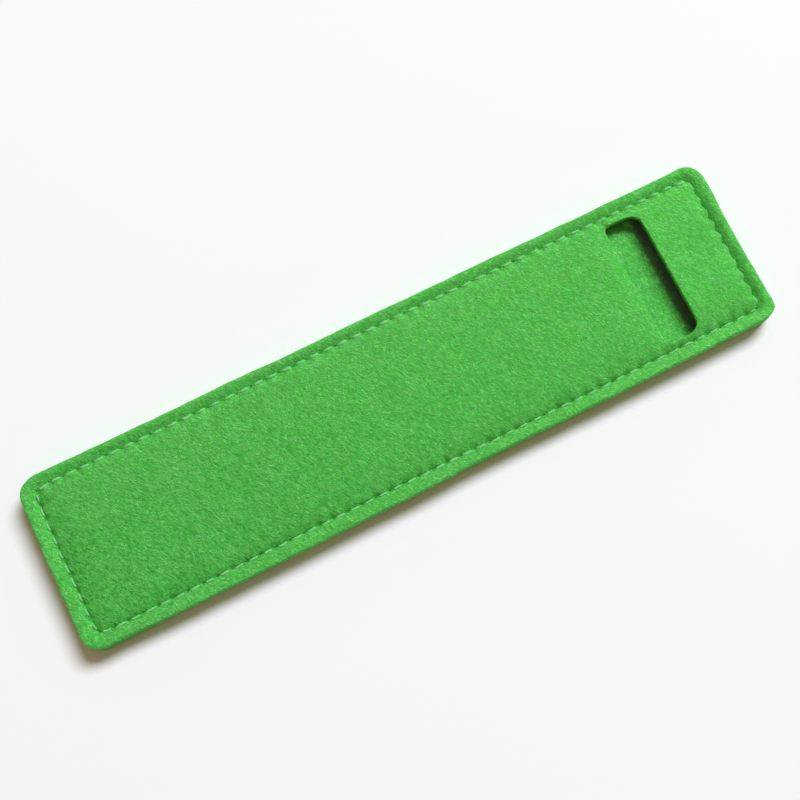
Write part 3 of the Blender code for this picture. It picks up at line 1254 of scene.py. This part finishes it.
@dataclass
class FrontPanel(FeltPanel):
    """The upper layer: raised between its seams, with the pen slot cut near one end."""

    overhang: Sides = (-0.00015, 0.00038, 0.0004, -0.0001)
    slot_rim: tuple[float, float] = (0.00042, 0.00018)
    slot_roughness: Ripple = Ripple(0.0014, 0.00005, 51)
    slot_tightness: float = 0.0001
    lip_reach: float = 0.00045
    slot_shift: float = -0.00028
    header_reach: float = 0.00058
    undercut: float = 0.0007
    slot_inner_rim: float = 0.00025
    slot_spacing: float = 0.00032
    dip: float = 0.0006
    dip_reach: float = 0.0015
    stand: float = 0.0007
    stand_reach: float = 0.0045

    def around_slot(self, x: Array, y: Array) -> Array:
        """Measure how far points lie outside this panel's slot."""
        return self.form.outside_slot(x, y - self.slot_shift)

    def lip(self, x: Array, y: Array) -> Array:
        """Dip the pocket's edge of the slot and lift the header's.

        Args:
            x: the points' first coordinates.
            y: their second coordinates.

        Returns:
            The depth that the slot adds.
        """
        away = np.maximum(self.around_slot(x, y), 0)
        before = 1 - ease(-0.004, -0.003, x - self.form.slot_centre)
        middle = 1 - ease(0.6, 1.0, np.abs(y) / self.form.slot_half[1])
        dip = self.dip * decay(away, self.dip_reach) * before * (0.35 + 0.65 * middle)
        return dip - self.stand * decay(away, self.stand_reach) * (1 - before) * (0.4 + 0.6 * middle)

    def inner_height(self, x: Array, y: Array) -> Array:
        """Give the height of the underside, which rises past the seam to the pocket's ceiling.

        Args:
            x: the points' first coordinates.
            y: their second coordinates.

        Returns:
            The heights.
        """
        past = self.form.past_seam(x, y)
        together = (self.form.layer_gap - 0.00002) * (1 - ease(-0.0002, 0.0022, past))
        return self.inner_level - together + self.form.pocket_rise * ease(0.0026, 0.0056, past)

    def cut_wall(self, x: Array, y: Array, z: Array) -> Array:
        """Tell, by 1, where shade is painted on the slot's wall, towards the header and at the far end.

        Args:
            x: the points' first coordinates.
            y: their second coordinates.
            z: their heights.

        Returns:
            The shares, between 0 and 1.
        """
        near = 1 - ease(0.0009, 0.0013, self.around_slot(x, y))
        far = np.maximum(ease(-0.002, 0.002, x - self.form.slot_centre),
                         ease(-0.0014, -0.0006, y - self.slot_shift - self.form.slot_half[1]))
        return near * far * (1 - ease(self.outer_level - 0.0010, self.outer_level - 0.0001, z))

    def slot_loop(self, outset: Array | float) -> Array:
        """Draw a line round the slot.

        Args:
            outset: how far outside the cut edge it runs, for each of its points.

        Returns:
            The line's points.
        """
        half_x, half_y = self.form.slot_half
        radii = [self.form.slot_radius] * 4
        radii[2] = self.form.tight_slot_radius
        points = []
        normals = []
        for number, (sx, sy) in enumerate(((1, -1), (1, 1), (-1, 1), (-1, -1))):
            radius = radii[number]
            angles = (number - 1) * pi / 2 + np.linspace(0, pi / 2, 11)
            corner = np.stack([np.cos(angles), np.sin(angles)], axis=1)
            points.append(np.array([sx * (half_x - radius), sy * (half_y - radius)]) + corner * radius)
            step = ((0, 1), (-1, 0), (0, -1), (1, 0))[number]
            run = 2 * (half_x if number % 2 else half_y) - radius - radii[(number + 1) % 4]
            count = round(run / self.slot_spacing)
            points.append(points[-1][-1] + np.array(step) * run * np.arange(1, count)[:, None] / count)
            normals += [corner, np.repeat(corner[-1:], count - 1, axis=0)]
        flat = np.concatenate(points) + np.array([self.form.slot_centre, self.slot_shift])
        return flat + np.concatenate(normals) * np.asarray(outset).reshape(-1, 1)

    def slot_rings(self, skin: Skin) -> tuple[list[Array], list[Array]]:
        """Line the slot's cut edge, soft towards the pocket and crisp on the header.

        Args:
            skin: the surface that the edge is added to.

        Returns:
            The numbers of its top and bottom rings, and their flat points.
        """
        edge = self.slot_loop(0.0)
        along = edge[:, 0] - self.form.slot_centre
        on_header = ease(0.0, 0.0045, along)
        soft, crisp = self.slot_rim
        rim = crisp + (soft - crisp) * (1 - ease(-0.0045, 0.002, along))
        ragged = self.slot_roughness.at(*edge.T) - self.slot_tightness - self.header_reach * on_header
        ragged = ragged - self.lip_reach * (1 - ease(-0.0048, -0.003, along))
        under = self.undercut * on_header
        rings = []
        for turn in np.linspace(pi / 2, 0, 6):
            flat = self.slot_loop(rim * (1 - np.cos(turn)) + ragged)
            height = self.outer_height(*flat.T) - rim * 0.9 * (1 - np.sin(turn))
            rings.append(skin.add(self.placed(flat, height)))
        wall = self.slot_loop(ragged)
        high = self.outer_height(*wall.T) - rim * 0.9
        low = self.inner_height(*wall.T) + self.slot_inner_rim
        for share in (0.3, 0.65, 1.0):
            wall = self.slot_loop(ragged + under * share)
            rings.append(skin.add(self.placed(wall, high * (1 - share) + low * share)))
        last = self.slot_loop(self.slot_inner_rim + ragged + under)
        rings.append(skin.add(self.placed(last, self.inner_height(*last.T))))
        skin.bridge(rings)
        return [rings[0], rings[-1]], [self.strayed(self.slot_loop(rim + ragged)), self.strayed(last)]

    def room(self, x: Array, y: Array) -> Array:
        """Measure how far points lie inside the face's rings and clear of the slot."""
        return np.minimum(super().room(x, y), self.around_slot(x, y) - 0.0008)

    def inner_room(self, x: Array, y: Array) -> Array:
        """Measure how far points lie inside the inner face's rings and clear of the slot."""
        return np.minimum(super().inner_room(x, y), self.around_slot(x, y) - 0.0016)


def plain_mesh(piece: bpy.types.Object, tree: bpy.types.NodeTree, inputs: dict,
               name: str) -> bpy.types.Object:
    """Run a geometry tree on a piece and keep its result as a plain mesh.

    Args:
        piece: the object that the tree starts from.
        tree: the geometry tree.
        inputs: its values, by the names of its inputs.
        name: the new object's name.

    Returns:
        The new object, with no modifier.
    """
    modifier = piece.modifiers.new(tree.name, "NODES")
    modifier.node_group = tree
    for item in tree.interface.items_tree:
        if item.item_type == "SOCKET" and item.in_out == "INPUT" and item.name in inputs:
            modifier[item.identifier] = inputs[item.name]
    piece.update_tag()
    shown = piece.evaluated_get(bpy.context.evaluated_depsgraph_get())
    mesh = bpy.data.meshes.new_from_object(shown)
    piece.modifiers.remove(modifier)
    mesh.name = name
    return new_object(name, mesh)


class StitchTree(NodeGroup):
    """The geometry tree that sews: a course from hole to hole becomes a thread with a dive at each hole."""

    name = "stitches"
    kind = "GeometryNodeTree"
    inputs = {
        "Course": "NodeSocketGeometry",
        "Diameter": 0.00048,
        "Rings": 36,
        "Segments": 12,
        "Outward": 1.0,
        "Lift": 0.00010,
        "Mouth": 0.0007,
        "Loop Depth": 0.0024,
        "Twist Length": 0.0012,
        "Looseness": 0.00008,
        "Slant": -0.00022,
        "Pitch": 0.00356,
        "Seed": 3,
        "Material": "NodeSocketMaterial",
    }
    outputs = {"Thread": "NodeSocketGeometry"}

    def results(self) -> dict[str, Output]:
        """Sweep the strands along the bent course.

        Returns:
            The tree's output, by name.
        """
        run = self.new("GeometryNodeSplineParameter", output="Length")
        angle = run / self.source["Twist Length"] * tau
        twisted = self.new("GeometryNodeSetCurveTilt", {"Curve": self.lay(), "Tilt": angle})
        mesh = self.new("GeometryNodeCurveToMesh", {
            "Curve": twisted, "Profile Curve": self.strands(), "Fill Caps": True,
        })
        return {"Thread": self.dressed(self.new("GeometryNodeSetShadeSmooth", {"Geometry": mesh}))}

    def lay(self) -> Output:
        """Bend the course into stitches: up from a hole, bowed over the felt and down into the next.

        Returns:
            The bent curve.
        """
        source = self.source
        cuts = source["Rings"] / source["Segments"] - 1.0
        fine = self.new("GeometryNodeSubdivideCurve", {"Curve": source["Course"], "Cuts": cuts})
        turn = self.new("GeometryNodeInputIndex") / source["Rings"]
        stitch = turn.math("FLOOR")
        phase = turn - stitch
        middle = phase.ramp(0.12, 0.88, 0.0, 1.0)
        nearest = phase.math("MINIMUM", 1.0 - phase)
        bow = (middle * pi).math("SINE")
        deep = (source["Loop Depth"] - source["Mouth"]) * nearest.ramp(0.0, 0.12, -1.0, 0.0)
        mouth = source["Mouth"] * nearest.ramp(0.11, 0.22, -1.0, 0.0, True)
        rise = deep + mouth + source["Lift"] * self.chance(0.75, 1.3, 0.0, stitch) * bow
        stride = middle * 0.89 + 0.055 - phase
        step = stride * source["Pitch"] * nearest.ramp(0.0, 0.02, 0.0, 1.0)
        stray = source["Looseness"] * self.chance(-1.0, 1.0, 9.0, stitch) * bow
        aside = stray + (middle - 0.5) * source["Slant"] * source["Outward"]
        tangent = self.new("GeometryNodeInputTangent")
        sideways = self.shift("CROSS_PRODUCT", tangent, (0.0, 0.0, 1.0))
        offset = self.shift("ADD", self.scaled(tangent, step), self.scaled(sideways, aside))
        moved = self.shift("ADD", offset, self.vector(0.0, 0.0, rise * source["Outward"]))
        return self.new("GeometryNodeSetPosition", {"Geometry": fine, "Offset": moved})

    def strands(self) -> Output:
        """Draw the thread's profile of three strands.

        Returns:
            The profile curve.
        """
        radius = self.source["Diameter"] * 0.5
        circle = self.new("GeometryNodeCurvePrimitiveCircle", {"Resolution": 12, "Radius": radius})
        share = self.new("GeometryNodeSplineParameter", output="Factor")
        size = (share * (3 * tau)).math("COSINE") * 0.06 + 0.95
        place = self.scaled(self.new("GeometryNodeInputPosition"), size)
        return self.new("GeometryNodeSetPosition", {"Geometry": circle, "Position": place})


@dataclass
class Seam:
    """The lockstitch round the case: the needle thread above and the bobbin thread below."""

    form: CaseForm
    wander: Wander = Wander()
    diameter: float = 0.00064
    hidden: Sides = (0.28, 0.34, 0.27, 0.31)
    hidden_depth: float = 0.0007
    seat: Sides = (-0.00020, -0.00056, -0.00022, -0.00010)
    overlap: int = 3
    overlap_start: float = 0.0004
    overlap_shift: float = 0.00026
    segments: int = 12
    rings: tuple[int, int] = (36, 24)
    pull: float = 0.00018
    stand: float = 0.3

    def course(self, panel: FeltPanel) -> Array:
        """Give the points that a thread passes on its panel's face, from hole to hole.

        Args:
            panel: the panel that the thread lies on.

        Returns:
            The points, the first few stitches passed again at the end, where the seam laps over itself.
        """
        holes = self.form.holes()
        lapped = np.array([-self.overlap_start, panel.side.value * self.overlap_shift])
        holes = np.concatenate([holes, holes[:1], holes[1:1 + self.overlap] + lapped])
        ahead = np.diff(holes, axis=0)
        away = np.stack([ahead[:, 1], -ahead[:, 0]], axis=1) / np.linalg.norm(ahead, axis=1)[:, None]
        share = np.arange(self.segments) / self.segments
        middle = (holes[:-1] + holes[1:]) / 2
        on_far_side = (middle[:, 1] > 0.0165) & (np.abs(middle[:, 0]) < 0.083)
        bow = np.where(on_far_side, -self.pull, 0.7 * self.pull)[:, None] * np.sin(pi * share)[None, :]
        flat = holes[:-1, None, :] + ahead[:, None, :] * share[None, :, None]
        flat = flat + away[:, None, :] * bow[:, :, None]
        flat = np.concatenate([flat.reshape(-1, 2), holes[-1:]])
        gap = np.append(np.tile(np.minimum(share, 1 - share), len(holes) - 1), 0.0)
        shown = ease(-0.07, 0.03, gap - self.form.by_side(*flat.T, self.hidden))
        lift = self.diameter * self.stand - self.hidden_depth * (1 - shown)
        if panel.side is Side.FRONT:
            lift = lift + self.form.by_side(*flat.T, self.seat)
        bare = replace(panel, hole_depth=0.0, lumps=())
        seat = bare.outer_height(*flat.T) + panel.side.value * lift
        return np.column_stack([flat + self.wander.seam_shift(*flat.T), seat])

    def sew(self, tree: StitchTree, name: str, panel: FeltPanel,
            material: bpy.types.Material) -> bpy.types.Object:
        """Make one thread.

        Args:
            tree: the geometry tree that sews.
            name: the thread's name.
            panel: the panel that it lies on.
            material: its material.

        Returns:
            The thread's object.
        """
        curve = bpy.data.curves.new(name + "_course", "CURVE")
        curve.dimensions = "3D"
        points = self.course(panel)
        spline = curve.splines.new("POLY")
        spline.points.add(len(points) - 1)
        spline.points.foreach_set("co", np.column_stack([points, np.ones(len(points))]).ravel())
        course = new_object(name + "_course", curve)
        level = panel.outer_level - panel.side.value * panel.press
        thread = plain_mesh(course, tree.tree, {
            "Diameter": self.diameter,
            "Rings": self.rings[panel.side is Side.BACK],
            "Segments": self.segments,
            "Outward": float(panel.side.value),
            "Loop Depth": abs(level - self.form.felt_thickness) - 0.0001,
            "Seed": 3 + panel.side.value,
            "Material": material,
        }, name)
        bpy.data.objects.remove(course, do_unlink=True)
        return thread


class FibreTree(NodeGroup):
    """The geometry tree that scatters loose fibres over the felt: curved spindles, each with its own tone."""

    name = "loose_fibres"
    kind = "GeometryNodeTree"
    inputs = {
        "Felt": "NodeSocketGeometry",
        "Density": 4000000.0,
        "Length": 0.0015,
        "Thickness": 0.00004,
        "Direction": 2.1,
        "Spread": 0.6,
        "Lean": 0.12,
        "Lift": 0.00002,
        "Lowest": 0.4,
        "Highest": 1.0,
        "Tone": 0.5,
        "Contrast": 0.5,
        "Seed": 1,
        "Material": "NodeSocketMaterial",
    }
    outputs = {"Fibres": "NodeSocketGeometry"}

    def results(self) -> dict[str, Output]:
        """Grow the fibres where the felt is open and its normal is in the layer's range.

        Returns:
            The tree's output, by name.
        """
        source = self.source
        height = self.parts(self.new("GeometryNodeInputNormal"))[2]
        chosen = height.math("GREATER_THAN", source["Lowest"]) * height.math("LESS_THAN", source["Highest"])
        free = self.new("GeometryNodeInputNamedAttribute", {"Name": "open"}, data_type="FLOAT")
        points = self.new("GeometryNodeDistributePointsOnFaces", {
            "Mesh": source["Felt"], "Selection": chosen, "Density": source["Density"] * free,
            "Seed": source["Seed"],
        }, "Points")
        normal = Output(points.socket.node.outputs["Normal"])
        for name, value in (("tone", self.tone()), ("hue", self.hue())):
            stored = {"Geometry": points, "Name": name, "Value": value}
            points = self.new("GeometryNodeStoreNamedAttribute", stored, data_type="FLOAT", domain="POINT")
        raised = {"Geometry": points, "Offset": self.scaled(normal, source["Lift"])}
        points = self.new("GeometryNodeSetPosition", raised)
        grown = self.new("GeometryNodeInstanceOnPoints", {
            "Points": points,
            "Instance": self.spindle(),
            "Rotation": self.turned(normal),
            "Scale": self.sized(),
        })
        return {"Fibres": self.dressed(grown)}

    def tone(self) -> Output:
        """Give each fibre a tone, shared in part by the fibres of one tuft.

        Returns:
            The tone.
        """
        place = self.new("GeometryNodeInputPosition")
        combed = self.combed(place, self.source["Direction"], (0.27, 1.0, 1.0))
        tuft = self.noise(combed, 2400.0, 2.0, 0.65) - 0.5
        patch = self.noise(combed, 600.0, 1.0) - 0.5
        # the tones' spread eases from 1.25 to 0.7 times the contrast, from the left end towards the right
        # end, nearer the lamp
        faded = self.source["Contrast"] * self.parts(place)[0].ramp(-0.080, 0.085, 1.25, 0.7)
        return (tuft * 5.2 + self.chance(-0.65, 0.65, 100) + patch) * faded + self.source["Tone"]

    def hue(self) -> Output:
        """Give each fibre a dye between 0 and 1, mostly that of its tuft.

        Returns:
            The dye.
        """
        moved = self.shift("ADD", self.new("GeometryNodeInputPosition"), (5.0, 0.0, 5.0))
        shared = self.noise(moved, 1700.0, 1.0, 0.6).ramp(0.32, 0.68, 0.0, 1.0)
        return self.chance(-0.5, 0.5, 900) * 0.5 + shared

    def spindle(self) -> Output:
        """Make one fibre: a thin curved spindle along X.

        Returns:
            Its mesh.
        """
        length, thickness = self.source["Length"], self.source["Thickness"]
        ball = self.new("GeometryNodeMeshUVSphere", {"Segments": 3, "Rings": 2, "Radius": 0.5})
        x, y, z = self.parts(self.new("GeometryNodeInputPosition"))
        bend = (0.5 - z.math("ABSOLUTE")) * (length * 0.11)
        place = self.vector(z * length, x * thickness, y * (thickness * 0.35) + bend)
        shaped = self.new("GeometryNodeSetPosition", {"Geometry": ball, "Position": place})
        return self.new("GeometryNodeSetShadeSmooth", {"Geometry": shaped, 2: False})

    def turned(self, normal: Output) -> Output:
        """Turn each fibre: along the felt, near the main direction, leaning and rolled a little.

        Args:
            normal: the felt's normal at the fibre.

        Returns:
            The rotation.
        """
        stray = self.chance(-1, 1, 200) + self.chance(-1, 1, 300)
        angle = stray * self.source["Spread"] + self.source["Direction"]
        heading = self.vector(angle.math("COSINE"), angle.math("SINE"), self.chance(-0.9, 0.9, 350))
        laid = self.new("FunctionNodeAxesToRotation", {0: normal, 1: heading},
                        primary_axis="Z", secondary_axis="X")
        lean = (self.chance(-1, 1, 400) + self.chance(-1, 1, 500)) * self.source["Lean"]
        tilt = self.vector(self.chance(-0.25, 0.25, 600), lean, 0.0)
        local = self.new("FunctionNodeEulerToRotation", {0: tilt})
        return self.new("FunctionNodeRotateRotation", {0: laid, 1: local}, rotation_space="LOCAL")

    def sized(self) -> Output:
        """Give each fibre its own length and thickness."""
        thick = self.chance(0.7, 1.3, 800)
        return self.vector(self.chance(0.45, 1.35, 700), thick, thick)


@dataclass(frozen=True)
class FibreLayer:
    """One layer of loose fibres on a panel; but for the first two, its sizes are the tree's inputs."""

    name: str
    show: Show
    density: float
    length: float
    thickness: float
    direction: float
    spread: float
    lean: float
    lift: float
    tone: float
    contrast: float
    seed: int

    def inputs(self) -> dict[str, float]:
        """Give the values of the geometry tree's inputs.

        Returns:
            The values, by the inputs' names.
        """
        lowest, highest = self.show.value
        values = {key.title(): value for key, value in asdict(self).items() if key not in ("name", "show")}
        return {**values, "Lowest": lowest, "Highest": highest + 0.001}


@dataclass
class Nap:
    """The loose fibres of a panel, layer by layer."""

    panel: bpy.types.Object
    layers: tuple[FibreLayer, ...]

    def grow(self, tree: FibreTree, material: bpy.types.Material) -> list[bpy.types.Object]:
        """Grow every layer with a tree and a material, as one object each."""
        return [plain_mesh(self.panel, tree.tree, {**layer.inputs(), "Material": material}, layer.name)
                for layer in self.layers]


@dataclass
class Studio:
    """The pale floor, the soft light and the camera."""

    camera_place: Triple = (-0.037024, -0.053757, 0.306681)
    camera_aim: Triple = (-0.000458, 0.000862, 0.0)
    camera_roll: float = radians(7.31375)
    lens: float = 60.75
    floor_half: float = 1.5
    floor_level: float = -0.00005
    floor_colour: Colour = (0.912, 0.887, 0.892, 1.0)
    floor_darker: float = 0.995
    key_azimuth: float = radians(34.5)
    key_elevation: float = radians(57.0)
    key_distance: float = 4.0
    key_size: tuple[float, float] = (2.23, 1.44)
    key_roll: float = radians(45.0)
    key_power: float = 187.0
    key_colour: Triple = (0.797, 0.890, 0.980)
    fill_colour: Colour = (0.296, 0.213, 0.133, 1.0)
    backdrop_colour: Colour = (0.93, 0.93, 0.93, 1.0)

    def set_camera(self) -> None:
        """Place the camera at the photograph's angle."""
        data = bpy.data.cameras.new("camera")
        data.lens = self.lens
        data.sensor_width = 36.0
        data.clip_start = 0.01
        camera = new_object("camera", data)
        place = Vector(self.camera_place)
        turn = (Vector(self.camera_aim) - place).to_track_quat("-Z", "Y")
        roll = Matrix.Rotation(self.camera_roll, 4, "Z")
        camera.matrix_world = Matrix.Translation(place) @ turn.to_matrix().to_4x4() @ roll
        bpy.context.scene.camera = camera

    def lay_floor(self) -> None:
        """Lay the plain floor under the case."""
        half = self.floor_half
        mesh = bpy.data.meshes.new("floor")
        corners = [(-half, -half, 0), (half, -half, 0), (half, half, 0), (-half, half, 0)]
        mesh.from_pydata(corners, [], [(0, 1, 2, 3)])
        floor = new_object("floor", mesh)
        floor.location.z = self.floor_level
        nodes = Material("floor")
        darker = tuple(value * self.floor_darker for value in self.floor_colour[:3]) + (1.0,)
        paper = nodes.colours(nodes.noise(nodes.place(), 30.0, 2.0), darker, self.floor_colour)
        material = nodes.finish({"Base Color": paper, "Roughness": 0.9, "Specular IOR Level": 0.1})
        mesh.materials.append(material)

    def hang_key(self) -> None:
        """Hang a soft oval lamp that looks at the case from beyond its slotted end."""
        data = bpy.data.lights.new("key", "AREA")
        data.shape = "ELLIPSE"
        data.size, data.size_y = self.key_size
        data.energy = self.key_power
        data.color = self.key_colour
        lamp = new_object("key", data)
        level = np.cos(self.key_elevation)
        towards = Vector((level * np.cos(self.key_azimuth), level * np.sin(self.key_azimuth),
                          np.sin(self.key_elevation)))
        lamp.location = towards * self.key_distance
        facing = (-towards).to_track_quat("-Z", "Y").to_matrix()
        lamp.rotation_euler = (facing @ Matrix.Rotation(self.key_roll, 3, "Z")).to_euler()

    def light(self) -> None:
        """Light the case with the lamp and a weak warm fill; the pale backdrop is only for the camera."""
        self.hang_key()
        world = bpy.data.worlds.new("studio")
        bpy.context.scene.world = world
        world.use_nodes = True
        nodes = Nodes(world.node_tree)
        seen = nodes.new("ShaderNodeLightPath", output="Is Camera Ray")
        shown = nodes.mix(seen, self.fill_colour, self.backdrop_colour)
        set_inputs(world.node_tree.nodes["Background"], {"Color": shown})
        bpy.context.scene.view_settings.view_transform = "Standard"


def ride_all(pieces: list[bpy.types.Object]) -> None:
    """Let pieces move with the case."""
    for piece in pieces:
        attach(piece, BODY)


def main() -> None:
    """Build the pen case and its studio."""
    logging.basicConfig(level=logging.INFO, format="%(message)s")
    form = CaseForm.from_frame()
    studio = Studio()
    studio.set_camera()
    studio.lay_floor()
    studio.light()

    grain = FibreGrain()
    finish = FeltFinish()
    felt = finish.face_material(grain)
    recess = finish.recess_material(grain)
    fibre = finish.fibre_material()
    thread = ThreadFinish().material()

    front_panel = FrontPanel(form, Side.FRONT, "front_panel", form.front_top, form.front_underside)
    back_panel = FeltPanel(form, Side.BACK, "back_panel", form.rest_level, form.felt_thickness,
                           press=form.groove_depth)
    front = front_panel.build()
    back = back_panel.build()
    for panel in (front, back):
        # the second material is the painted shade of the pocket
        panel.data.materials.append(felt)
        panel.data.materials.append(recess)

    stitches = StitchTree()
    seam = Seam(form)
    needle = seam.sew(stitches, "needle_stitches", front_panel, thread)
    bobbin = seam.sew(stitches, "bobbin_stitches", back_panel, thread)

    fibres = FibreTree()
    along = finish.direction
    left, right = along - 0.35, along + 0.4
    # Besides their random tones, the low layer is set darker and the high layer lighter: painted shade low in
    # the nap and painted light at its top.
    top_layers = (
        FibreLayer("front_nap_low", Show.TOP, 4.1e6, 0.0013, 0.000062, direction=along, spread=0.4,
                   lean=0.05, lift=0.0, tone=0.30, contrast=1.15, seed=11),
        FibreLayer("front_nap_left", Show.TOP, 4.1e6, 0.0011, 0.000052, direction=left, spread=0.3,
                   lean=0.08, lift=0.00001, tone=0.5, contrast=1.25, seed=12),
        FibreLayer("front_nap_right", Show.TOP, 4.1e6, 0.0011, 0.000052, direction=right, spread=0.35,
                   lean=0.08, lift=0.00001, tone=0.5, contrast=1.25, seed=13),
        FibreLayer("front_nap_high", Show.TOP, 4.1e6, 0.0012, 0.000046, direction=along, spread=0.5,
                   lean=0.10, lift=0.00003, tone=0.70, contrast=1.15, seed=14),
        FibreLayer("front_nap_rim", Show.RIM, 1.4e7, 0.0007, 0.000044, direction=along, spread=1.5,
                   lean=0.16, lift=0.0, tone=0.8, contrast=1.0, seed=15),
    )
    back_layers = (
        FibreLayer("back_nap_top", Show.TOP, 1.6e7, 0.0011, 0.000052, direction=along, spread=0.9,
                   lean=0.09, lift=0.00001, tone=0.62, contrast=1.2, seed=21),
        FibreLayer("back_nap_rim", Show.RIM, 1.4e7, 0.0007, 0.000044, direction=along, spread=1.5,
                   lean=0.12, lift=0.0, tone=0.5, contrast=1.0, seed=22),
        FibreLayer("back_nap_low", Show.UNDERSIDE, 4.1e6, 0.0013, 0.000055, direction=along, spread=0.8,
                   lean=0.03, lift=0.0, tone=0.5, contrast=0.9, seed=23),
    )
    front_nap = Nap(front, top_layers).grow(fibres, fibre)
    back_nap = Nap(back, back_layers).grow(fibres, fibre)
    for piece in (front, back, needle, bobbin, *front_nap, *back_nap):
        LOG.info("%s: %d faces", piece.name, len(piece.data.polygons))

    ride_all([front, back, *front_nap, *back_nap])
    ride_all([needle, bobbin])
    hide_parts("front_panel")
    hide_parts("back_panel")
    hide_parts("needle_thread")
    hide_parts("bobbin_thread")


if __name__ == "__main__":
    main()
